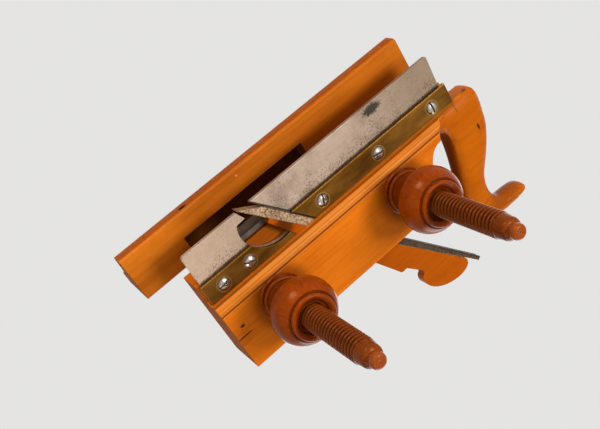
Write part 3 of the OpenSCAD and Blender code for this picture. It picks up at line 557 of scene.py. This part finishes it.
# the tote: an outline in X and Z, rounded over to each side
toteSize = {"middle": 6.4, "half": 11.1, "round": 10.5, "thin": 0.85, "smooth": 4, "top": 150.6, "horn": 26.8,
            "back": 25.0, "front": 19.4, "under": 42.0, "hole": 55.0, "heel": -114.3, "sharp": 0.7, "cove": 15.0,
            "coveAt": -91.5, "coveTop": 76, "coveFade": 18, "sides": (-13.4, 24.2), "steps": 12,
            "fillX": range(-142, -70, 2), "fillZ": range(42, 151, 2), "fillShift": (0.13, 0.17)}


# outline points, each with the largest rounding it may have
def toteOutline():
    s = toteSize
    h, t, u = s["heel"], s["top"], s["under"]
    g, b, horn, hole, full, sharp = s["front"], s["back"], s["horn"], s["hole"], s["round"], s["sharp"]
    curves = [((h + 26.3, hole - 0.2), (h + g - 8, hole - 0.8), (h + g - 6, hole + 11), (h + g, hole + 37),
               32, 1.4, full),
              ((h + g, hole + 37), (h + g + 3, hole + 50), (h + g + 7.6, t - 35), (h + g + 7.6, t - 20),
               18, full, full),
              ((h + g + 7.6, t - 20), (h + g + 7.6, t - 7), (h + g - 3, t), (h + 2.3, t), 18, full, full),
              ((h + 2.3, t), (h - horn + 13, t), (h - horn, t), (h - horn, t - 6.5), 20, full, full),
              ((h - horn, t - 6.5), (h - horn, t - 11.5), (h - 17, t - 12.4), (h - 6.0, t - 13.4), 20, full, full),
              ((h - 6.0, t - 13.4), (h + 3.0, t - 14.4), (h + 4.7, t - 29.1), (h - 1.3, t - 40.2), 24, full, full),
              ((h - 1.3, t - 40.2), (h - 8.2, t - 50.1), (h - b + 3, u + 42), (h - b + 1.9, u + 25), 24, full, 7.0),
              ((h - b + 1.9, u + 25), (h - b - 0.1, u + 14), (h - b - 1.2, u), (h - b + 7.3, u), 22, 6.0, sharp)]
    corners = [(h - b + 7.3, u), (h + 44, u), (h + 44, 49), (h + 36, 51.2), (h + 26.3, hole - 0.2)]
    for p, q, n in zip(corners, corners[1:], (40, 5, 5, 6)):
        third, twoThirds = [[(i * (3 - k) + j * k) / 3 for i, j in zip(p, q)] for k in (1, 2)]
        curves.append((p, third, twoThirds, q, n, sharp, sharp))
    points, limits = [], []
    for p, q, r, w, count, low, high in curves:
        points += bezier(p, q, r, w, count)
        limits += [low + (high - low) * (i / count) ** 1.6 for i in range(count)]
    return points, limits


# distance from each outline point to the middle of the tote there
def roomInside(points, limits):
    count = len(points)
    rooms, inward = [], []
    for i in range(count):
        ax, az = points[i - 1]
        bx, bz = points[(i + 1) % count]
        length = math.hypot(bx - ax, bz - az)
        nx, nz = -(bz - az) / length, (bx - ax) / length
        room = limits[i]
        px, pz = points[i]
        for qx, qz in points:
            dx, dz = qx - px, qz - pz
            across = dx * nx + dz * nz
            if across > 0.05:
                room = min(room, (dx * dx + dz * dz) / (2 * across))
        rooms.append(room)
        inward.append((nx, nz))
    for spread in range(3):
        rooms = [sum(rooms[(i + k) % count] for k in range(-3, 4)) / 7 for i in range(count)]
    return rooms, inward


def makeTote():
    s = toteSize
    points, limits = toteOutline()
    rooms, inward = roomInside(points, limits)
    count = len(points)
    spots = [Vector(p) for p in points]
    heights, loose, taken = [0.0] * count, [False] * count, set()

    def add(x, z, least, cell=0.9):
        gaps = [math.hypot(x - px, z - pz) for px, pz in points]
        gap = min(gaps)
        who = gaps.index(gap)
        weights = [1 / (g * g + 0.2) ** 2 for g in gaps]
        room = sum(w * r for w, r in zip(weights, rooms)) / sum(weights)
        key = (round(x / cell), round(z / cell), cell)
        nx, nz = inward[who]
        inside = (x - points[who][0]) * nx + (z - points[who][1]) * nz > 0
        if gap > least and inside and key not in taken:
            taken.add(key)
            spots.append(Vector((x, z)))
            share = min(1.0, gap / room)
            full = s["thin"] + (1 - s["thin"]) * min(1.0, max(room, gap) / s["round"])
            heights.append(full * math.sqrt(1 - (1 - share) ** 2))
            loose.append(share > 0.4)

    for k in range(1, s["steps"] + 1):
        inset = 1 - math.cos(math.pi / 2 * k / s["steps"])
        for i in range(0, count, 1 if k < 7 else 2):
            d = rooms[i] * inset
            (px, pz), (nx, nz) = points[i], inward[i]
            add(px + nx * d, pz + nz * d, d * 0.985, 0.05 if k < 8 else 0.9)
    aside, above = s["fillShift"]
    for x in s["fillX"]:
        for z in s["fillZ"]:
            if all((x + aside - q.x) ** 2 + (z + above - q.y) ** 2 > 1.2 for q in spots):
                add(x + aside, z + above, 1.6)
    loop = [(i, (i + 1) % count) for i in range(count)]
    filled = delaunay_2d_cdt(spots, loop, [], 1, 1e-6)
    flat, faces, source = filled[0], filled[2], filled[3]
    rise = [heights[min(ids)] if ids else 0.0 for ids in source]
    free = [bool(ids) and loose[min(ids)] for ids in source]
    touching = [set() for v in flat]
    for face in faces:
        for i in face:
            touching[i].update(face)
    for spread in range(s["smooth"]):
        rise = [0.4 * r + 0.6 * sum(rise[j] for j in near) / len(near) if move else r
                for r, near, move in zip(rise, touching, free)]
    bm = bmesh.new()
    for way, flush in zip((-1, 1), s["sides"]):
        fill = abs(flush - s["middle"]) - s["half"]
        row = []
        for v, r in zip(flat, rise):
            t = min(1.0, max(0.0, (v.x - s["coveAt"] + s["cove"]) / s["cove"]))
            fade = min(1.0, max(0.0, (s["coveTop"] - v.y) / s["coveFade"]))
            extra = fill * (1 - math.sqrt(1 - t * t)) * fade * fade * (3 - 2 * fade)
            row.append(bm.verts.new((v.x * mm, (s["middle"] + way * (s["half"] + extra) * r) * mm, v.y * mm)))
        for face in faces:
            bm.faces.new([row[i] for i in face])
    bmesh.ops.remove_doubles(bm, verts=bm.verts, dist=1e-6)
    bmesh.ops.recalc_face_normals(bm, faces=bm.faces)
    softShade(bm, 50)
    return bm


heelSize = {"round": 1.2, "slant": 8.0, "early": 3.0, "late": -9.0, "lowFrom": 58.0, "lowRun": 14.0, "clear": 0.05,
            "floor": 41.75, "top": 180.0, "back": -160.0, "wide": (-40.0, 60.0), "past": 0.01,
            "insets": (2.4, 3.8, 5.4, 7.0), "coreLow": (-115.2, 1.6, 41.0), "coreHigh": (-92.0, 18.0, 44.0),
            "curve": ((-62.0, 96.8), (-72.0, 91.8), (-66.0, 55.5), (-88.0, 55.0)),
            "foot": ((-88.0, 55.0), (-91.7, 47.6), (-96.7, 41.7))}


# the cutter's outline in X and Z, at a depth from the nearer side of the stock
def heelLoop(depth):
    s = heelSize
    radius, depth = s["round"], max(depth, 0.0)
    d = min(depth, radius)
    run = min(depth / s["slant"], 1.0)
    loop = []
    for x, z in [*bezier(*s["curve"], 16), *s["foot"]]:
        low = min(1.0, max(0.0, (s["lowFrom"] - z) / s["lowRun"]))
        shift = radius - math.sqrt(max(0.0, radius * radius - (radius - d) ** 2))
        shift += low * (s["early"] + (s["late"] - s["early"]) * run)
        loop.append((x + s["clear"] + shift, z))
    firstX, firstZ = loop[0]
    return ([(firstX + 3, s["top"]), (firstX + 0.3, firstZ + 0.5)] + loop[:-1]
            + [(loop[-1][0], s["floor"]), (s["back"], s["floor"]), (s["back"], s["top"])])


# the stock without its stepped tote, its heel end rounded over
def makeStock():
    s = heelSize
    off, near = stockSide["off"], stockSide["near"]
    insets = [s["round"] * (k / 5) ** 1.6 for k in range(1, 6)] + [*s["insets"], s["slant"]]
    ys = [s["wide"][0], off - s["past"]] + [off + d for d in insets]
    ys += [near - d for d in reversed(insets)] + [near + s["past"], s["wide"][1]]
    cutter = bmesh.new()
    loops = [[cutter.verts.new((x * mm, y * mm, z * mm)) for x, z in heelLoop(min(y - off, near - y))] for y in ys]
    for low, high in zip(loops, loops[1:]):
        for k in range(len(low)):
            n = (k + 1) % len(low)
            cutter.faces.new((low[k], low[n], high[n], high[k]))
    cutter.faces.new(loops[0])
    cutter.faces.new(loops[-1])
    bmesh.ops.recalc_face_normals(cutter, faces=cutter.faces)
    result = bmesh.new()
    result.from_mesh(cutAway("stockRaw", cadCopy("stock"), cutter))
    bmesh.ops.remove_doubles(result, verts=result.verts, dist=1e-6)
    core = bmesh.ops.create_cube(result, size=1.0)["verts"]  # wood over the skate, behind the stock
    low, high = Vector(s["coreLow"]), Vector(s["coreHigh"])
    for v in core:
        v.co = Vector([(low[i] + high[i]) / 2 + v.co[i] * (high[i] - low[i]) for i in range(3)]) * mm
    softShade(result, 30)
    return result


place("toteBody", makeTote(), "stock", toteWood, ("stock",))
place("stockBody", makeStock(), "stock", stockWood, ("stock",))
print("stock and tote made")

for node in ("front_skate", "rear_skate"):
    dressed(node, "stock", skateSteel)
for node in ("front_plate", "rear_plate"):
    dressed(node, "stock", plateBrass)
dressed("stop_plate", "stock", stopBrass)
dressed("iron", "iron", ironSteel)
dressed("wedge", "wedge", wedgeWood)
dressed("fence", "fence", fenceWood, 40)
dressed("stop_thumbscrew", "stop_screw", stopBrass)
dressed("stop_stem", "depth_stop", stopSteel)
dressed("stop_shoe", "depth_stop", stopSteel)
for node in ("front_arm_screw", "rear_arm_screw"):
    dressed(node, "fence", smallScrewSteel)
for node in ("stop_plate_screw_1", "stop_plate_screw_2"):
    dressed(node, "stock", smallScrewSteel)
print("flat pieces dressed")


# a geometry tree with named inputs: the tree, the inputs as values, and their identifiers
def newTree(name, numbers, objects=()):
    tree = bpy.data.node_groups.new(name, "GeometryNodeTree")
    tree.interface.new_socket("Geometry", in_out="INPUT", socket_type="NodeSocketGeometry")
    keys = {}
    for label, value in numbers.items():
        kind = "NodeSocketInt" if isinstance(value, int) else "NodeSocketFloat"
        socket = tree.interface.new_socket(label, in_out="INPUT", socket_type=kind)
        socket.default_value = value
        keys[label] = socket.identifier
    for label in objects:
        keys[label] = tree.interface.new_socket(label, in_out="INPUT", socket_type="NodeSocketObject").identifier
    keys["Finish"] = tree.interface.new_socket("Finish", in_out="INPUT", socket_type="NodeSocketMaterial").identifier
    tree.interface.new_socket("Geometry", in_out="OUTPUT", socket_type="NodeSocketGeometry")
    start = tree.nodes.new("NodeGroupInput")
    return Graph(tree), {label: Value(tree, start.outputs[label]) for label in ["Geometry", *keys]}, keys


# realized, given its finish and sent to the output
def endTree(graph, given, shape):
    real = graph.node("GeometryNodeRealizeInstances", None, {0: shape})
    painted = graph.node("GeometryNodeSetMaterial", None, {"Geometry": real, "Material": given["Finish"]})
    graph.end("NodeGroupOutput", painted)


def nodeMesh(name, source, tree, keys, values):
    modifier = source.modifiers.new(name, "NODES")
    modifier.node_group = tree
    for label, value in values.items():
        modifier[keys[label]] = value
    bpy.context.view_layer.update()
    mesh = bpy.data.meshes.new_from_object(source.evaluated_get(bpy.context.evaluated_depsgraph_get()))
    source.modifiers.remove(modifier)
    bpy.data.objects.remove(source)
    mesh.name = name
    return mesh


threadSize = {"Around": 57, "Along": 900, "Outer": 9.15, "Depth": 2.0, "Pitch": 3.6, "From": -124.5, "To": 54.5,
              "Fade Tip": 2.0, "Fade Back": 4.0, "Run Out": 0.35, "Centre X": 0.0, "Centre Z": armPlace["z"]}


# a threaded rod: a grid wrapped round the arm's axis, its radius from the thread's phase
def threadTree():
    graph, given, keys = newTree("armThread", threadSize)
    sheet = graph.node("GeometryNodeMeshGrid", None, {"Size X": 1.0, "Size Y": 1.0, "Vertices X": given["Around"],
                                                      "Vertices Y": given["Along"]}, out="Mesh")
    flat = graph.node("GeometryNodeInputPosition")
    angle = (graph.node("ShaderNodeSeparateXYZ", None, {0: flat}, out="X") + 0.5) * (2 * math.pi)
    share = graph.node("ShaderNodeSeparateXYZ", None, {0: flat}, out="Y") + 0.5
    along = given["From"] + share * (given["To"] - given["From"])
    phase = (along / given["Pitch"] + angle / (2 * math.pi)).maths("FRACT")
    ridge = ((phase - 0.5).size() * math.pi).maths("SINE") ** 0.8
    fade = ((along - given["From"]) / given["Fade Tip"]).maths("MINIMUM", 1.0)
    fade = fade * ((given["To"] - along) / given["Fade Back"]).maths("MINIMUM", 1.0)
    radius = given["Outer"] - given["Depth"] * (1.0 - ridge) * fade - (1.0 - fade) * given["Run Out"]
    spot = graph.node("ShaderNodeCombineXYZ", None, {
        "X": (given["Centre X"] + radius * angle.maths("COSINE")) * mm, "Y": along * mm,
        "Z": (given["Centre Z"] + radius * angle.maths("SINE")) * mm})
    rod = graph.node("GeometryNodeSetPosition", None, {"Geometry": sheet, "Position": spot})
    endTree(graph, given, graph.node("GeometryNodeMergeByDistance", None, {0: rod, "Distance": 1e-6}))
    return graph.tree, keys


armSize = {"tip": -140.9, "back": 75.4, "plain": 8.85, "plainTo": 55.0, "nipple": 5.6, "nippleLength": 7.0}


def armEnds(x):
    s = armSize
    bm = bmesh.new()
    n, l, p = s["nipple"], s["nippleLength"], s["plain"]
    core = threadSize["Outer"] - threadSize["Run Out"]  # the rod's radius where the thread has run out
    tip = [(0.0, 0.5), (1.0, 0.45), (1.6, 0.05), (2.2, 0.0)]
    tip += bezier((n - 2.6, 0.0), (n - 1.0, 0.1), (n, 1.2), (n, 2.8), 8)
    tip += bezier((n, 2.8), (n, 4.6), (n - 0.4, 5.6), (n - 0.6, l - 0.4), 6)
    tip += bezier((n - 0.6, l - 0.4), (n + 0.2, l + 0.3), (7.4, l + 0.4), (7.9, l + 2.4), 6)
    tip += bezier((7.9, l + 2.4), (8.15, l + 4.5), (8.5, l + 7), (core, 16.4), 6)
    tip += [(core, threadSize["From"] - s["tip"])]
    turned(bm, tip, (x, s["tip"], armPlace["z"]), (0, 1, 0), threadSize["Around"] - 1)
    rear = [(0.0, 0.0)] + bezier((p - 1.4, 0.0), (p - 0.5, 0.0), (p, 0.5), (p, 1.4), 6)
    rear += [(p, 1.4), (p, s["back"] - s["plainTo"]), (core, s["back"] - threadSize["To"])]
    turned(bm, rear, (x, s["back"], armPlace["z"]), (0, -1, 0), threadSize["Around"] - 1)
    return bm


def makeArm(name, x, node):
    blank = linked(name + "Blank", bpy.data.meshes.new(name + "Blank"))
    tree, keys = threadTree()
    mesh = nodeMesh(name, blank, tree, keys, {"Centre X": x, "Finish": armWood})
    bm = armEnds(x)
    bm.from_mesh(mesh)
    bmesh.ops.remove_doubles(bm, verts=bm.verts, dist=5e-6)
    bmesh.ops.recalc_face_normals(bm, faces=bm.faces)
    softShade(bm, 50)
    bpy.data.meshes.remove(mesh)
    place(name, bm, "fence", armWood, (node,))


makeArm("frontArm", armPlace["front"], "front_arm")
makeArm("rearArm", armPlace["rear"], "rear_arm")
print("arms threaded")

nutSize = {"foot": 17.6, "neck": 14.4, "dome": 24.2, "length": 48.9, "shoulder": 28.6, "bead": 17.0, "dish": 4.4,
           "bore": 9.5, "gap": 0.1, "innerRadius": 17.0, "innerThick": 9.0, "around": 112, "innerAround": 96}


def makeNut(name, x, node):
    s = nutSize
    f, n, d, l, b, h = s["foot"], s["neck"], s["dome"], s["length"], s["bead"], s["shoulder"]
    bore, dish = s["bore"], l - s["dish"]
    profile = [(bore, 0.0), (f - 0.8, 0.0)] + arcOf(f - 1.9, 2.1, 1.9, 1.9, -60, 84, 10)
    profile += arcOf(f - 3.0, 5.7, 1.5, 1.5, -82, 82, 10)
    profile += bezier((n + 0.2, 7.9), (n - 0.8, 12), (n - 0.9, 20), (n + 0.3, h - 3), 12)
    profile += bezier((n + 0.3, h - 3), (n + 1.0, h - 0.8), (d - 5, h - 0.6), (d - 1.6, h - 0.2), 8)
    profile += [(d - 1.0, h), (d - 0.5, h + 0.7)]
    profile += bezier((d - 0.3, h + 1.4), (d + 0.4, h + 5), (d - 0.2, h + 9.5), (d - 2.6, h + 13.4), 12)
    profile += bezier((d - 2.6, h + 13.4), (d - 4.0, h + 15.6), (b + 1.6, l - 2.9), (b + 0.5, l - 2.2), 8)
    profile += [(b + 0.5, l - 2.2), (b - 0.1, l - 2.5), (b - 0.3, l - 1.9)]
    profile += arcOf(b - 1.9, l - 1.6, 1.6, 1.6, 0, 105, 10)
    profile += bezier((b - 2.6, l - 0.2), (b - 4.2, l - 1.4), (bore + 1.4, dish + 0.9), (bore, dish), 8)
    profile += [(bore, dish)]
    bm = bmesh.new()
    turned(bm, profile, (x, stockSide["off"] - s["gap"], armPlace["z"]), (0, -1, 0), s["around"])
    softShade(bm, 34)
    place(name, bm, node, nutWood, (node,))


def makeInnerNut(name, x, node):
    s = nutSize
    r, t, bore = s["innerRadius"], s["innerThick"], s["bore"]
    profile = [(bore, 0.0), (r - 0.8, 0.0)] + arcOf(r - 2.2, 2.2, 2.2, 2.2, -60, 86, 12)
    profile += arcOf(r - 4.4, t - 2, 2, 2, -60, 90, 12)
    profile += [(bore + 0.6, t), (bore, t - 0.6)]
    bm = bmesh.new()
    turned(bm, profile, (x, stockSide["near"] + s["gap"], armPlace["z"]), (0, 1, 0), s["innerAround"])
    softShade(bm, 34)
    place(name, bm, node, nutWood, (node,))


makeNut("frontOuterNut", armPlace["front"], "front_outer_nut")
makeNut("rearOuterNut", armPlace["rear"], "rear_outer_nut")
makeInnerNut("frontInnerNut", armPlace["front"], "front_inner_nut")
makeInnerNut("rearInnerNut", armPlace["rear"], "rear_inner_nut")
print("nuts turned")

screwSize = {"head": 5.2, "dome": 1.65, "sink": 2.4, "shank": 2.2, "length": 14.0, "slot": 1.35, "slotDepth": 2.0,
             "cutHeight": 4.0, "cutLength": 16.0, "around": 40}


# one domed screw, its head at the origin and facing -Y
def screwShape():
    s = screwSize
    k = (s["head"] ** 2 + s["dome"] ** 2) / (2 * s["dome"])
    a = math.asin(s["head"] / k)
    dome = [(k * math.sin(a * (1 - j / 10)), s["dome"] - k * (1 - math.cos(a * (1 - j / 10)))) for j in range(10)]
    profile = [(0.0, -s["length"]), (s["shank"], -s["length"]), (s["shank"], -s["sink"])] + dome + [(0.0, s["dome"])]
    bm = bmesh.new()
    turned(bm, profile, (0, 0, 0), (0, -1, 0), s["around"])
    slot = bmesh.new()
    bmesh.ops.create_cube(slot, size=1.0)
    for v in slot.verts:
        v.co = Vector((v.co.x * s["slot"], (v.co.y - 0.5) * s["cutHeight"] - s["dome"] + s["slotDepth"],
                       v.co.z * s["cutLength"])) * mm
    return linked("screwShape", cutAway("screwRaw", bm, slot))


# the same screw set at each point of a small mesh, turned by that point's own angle
def screwTree():
    graph, given, keys = newTree("plateScrews", {"Scale": 1.0}, ("Screw",))
    screw = graph.node("GeometryNodeObjectInfo", None, {"Object": given["Screw"]}, out="Geometry")
    turn = graph.node("GeometryNodeInputNamedAttribute", {"data_type": "FLOAT"}, {"Name": "turn"}, out="Attribute")
    spin = graph.node("ShaderNodeCombineXYZ", None, {"Y": turn})
    endTree(graph, given, graph.node("GeometryNodeInstanceOnPoints", None, {
        "Points": given["Geometry"], "Instance": screw, "Rotation": spin, "Scale": given["Scale"]}))
    return graph.tree, keys


def makeScrews():
    s = plateScrews
    dots = bpy.data.meshes.new("screwDots")
    dots.from_pydata([(x * mm, s["y"] * mm, s["z"] * mm) for x in s["x"]], [], [])
    angle = dots.attributes.new("turn", "FLOAT", "POINT")
    for item, value in zip(angle.data, s["turn"]):
        item.value = math.radians(value)
    source = linked("screwDots", dots)
    shape = screwShape()
    tree, keys = screwTree()
    mesh = nodeMesh("plateScrews", source, tree, keys, {"Screw": shape, "Finish": plateScrewSteel})
    bpy.data.objects.remove(shape)
    bm = bmesh.new()
    bm.from_mesh(mesh)
    softShade(bm, 40)
    bpy.data.meshes.remove(mesh)
    stands = tuple("plate_screw_%d" % i for i in range(1, 6))
    place("plateScrews", bm, "stock", plateScrewSteel, stands)


makeScrews()
print("screws set")

# stage: a pale floor that only shows from above, and soft light
stageSize = {"floor": -0.0122, "reach": 9.0, "pale": (0.8, 0.79, 0.775), "sky": (0.78, 0.775, 0.765),
             "glow": (0.95, 0.97, 1.0), "glowPower": 0.07, "aim": (0.0, -0.02, 0.06)}
floorMesh = bpy.data.meshes.new("floor")
floorMesh.from_pydata([(x * stageSize["reach"], y * stageSize["reach"], stageSize["floor"])
                       for x, y in ((-1, -1), (1, -1), (1, 1), (-1, 1))], [], [(0, 1, 2, 3)])
floorPaint = Paint("floorPaint", Roughness=0.9, Base_Color=rgb(*stageSize["pale"]))
below = floorPaint.node("ShaderNodeNewGeometry", out="Backfacing")
clear = floorPaint.node("ShaderNodeBsdfTransparent")
oneSided = floorPaint.node("ShaderNodeMixShader", None, {0: below, 1: floorPaint.shader, 2: clear})
feed(floorPaint.last.inputs[0], oneSided)
floorMesh.materials.append(floorPaint.mat)
floor = linked("floor", floorMesh)
floor.visible_shadow = False

world = bpy.data.worlds.new("studio")
scene.world = world
world.use_nodes = True
world.node_tree.nodes.clear()
studio = Graph(world.node_tree)
direct, through, glossy = [studio.node("ShaderNodeLightPath", out=ray)
                           for ray in ("Is Camera Ray", "Is Transmission Ray", "Is Glossy Ray")]
sky = studio.node("ShaderNodeBackground", None, {0: rgb(*stageSize["sky"])})
glow = studio.node("ShaderNodeBackground", None, {0: rgb(*stageSize["glow"]), 1: stageSize["glowPower"]})
studio.end("ShaderNodeOutputWorld",
           studio.node("ShaderNodeMixShader", None, {0: direct.most(through).most(glossy), 1: glow, 2: sky}))


def lamp(name, toward, distance, size, power, colour=(1, 1, 1)):
    light = bpy.data.lights.new(name, "AREA")
    light.shape, light.size, light.energy, light.color = "DISK", size, power, colour
    thing = linked(name, light)
    way = Vector(toward).normalized()
    thing.location = Vector(stageSize["aim"]) + way * distance
    thing.rotation_euler = way.to_track_quat("Z", "Y").to_euler()


def sunLamp(name, toward, power, spread, shine):
    light = bpy.data.lights.new(name, "SUN")
    light.energy, light.angle, light.specular_factor = power, math.radians(spread), shine
    linked(name, light).rotation_euler = Vector(toward).to_track_quat("Z", "Y").to_euler()


lamp("keyLight", (-0.36, -0.85, -0.14), 1.3, 0.45, 15, (1.0, 0.97, 0.92))
lamp("underLight", (0.05, -0.2, -1.0), 1.3, 0.45, 9, (1.0, 0.97, 0.92))
lamp("fillLight", (0.5, -0.7, 0.45), 1.5, 0.6, 3.5)
sunLamp("topLight", (0.12, -0.08, 1.0), 2.2, 50, 0.35)
sunLamp("backLight", (-0.4, 0.9, 0.5), 1.5, 70, 0.2)

# camera from the photograph: place, turn and lens
view = {"place": (179.06, -553.41, -262.39), "right": (-0.74220274, -0.46148036, 0.48597425),
        "down": (0.62828835, -0.22679195, 0.74419027), "ahead": (-0.23321414, 0.85767202, 0.45826834), "lens": 55.243}
eye = bpy.data.cameras.new("camera")
eye.sensor_fit, eye.sensor_width, eye.lens = "HORIZONTAL", 36.0, view["lens"]
eye.clip_start, eye.clip_end = 0.01, 50.0
camera = linked("camera", eye)
turn = Matrix((view["right"], [-c for c in view["down"]], [-c for c in view["ahead"]])).transposed()
camera.matrix_world = Matrix.Translation(Vector(view["place"]) * mm) @ turn.to_4x4()
scene.camera = camera
scene.view_settings.view_transform = "Standard"
print("stage set")
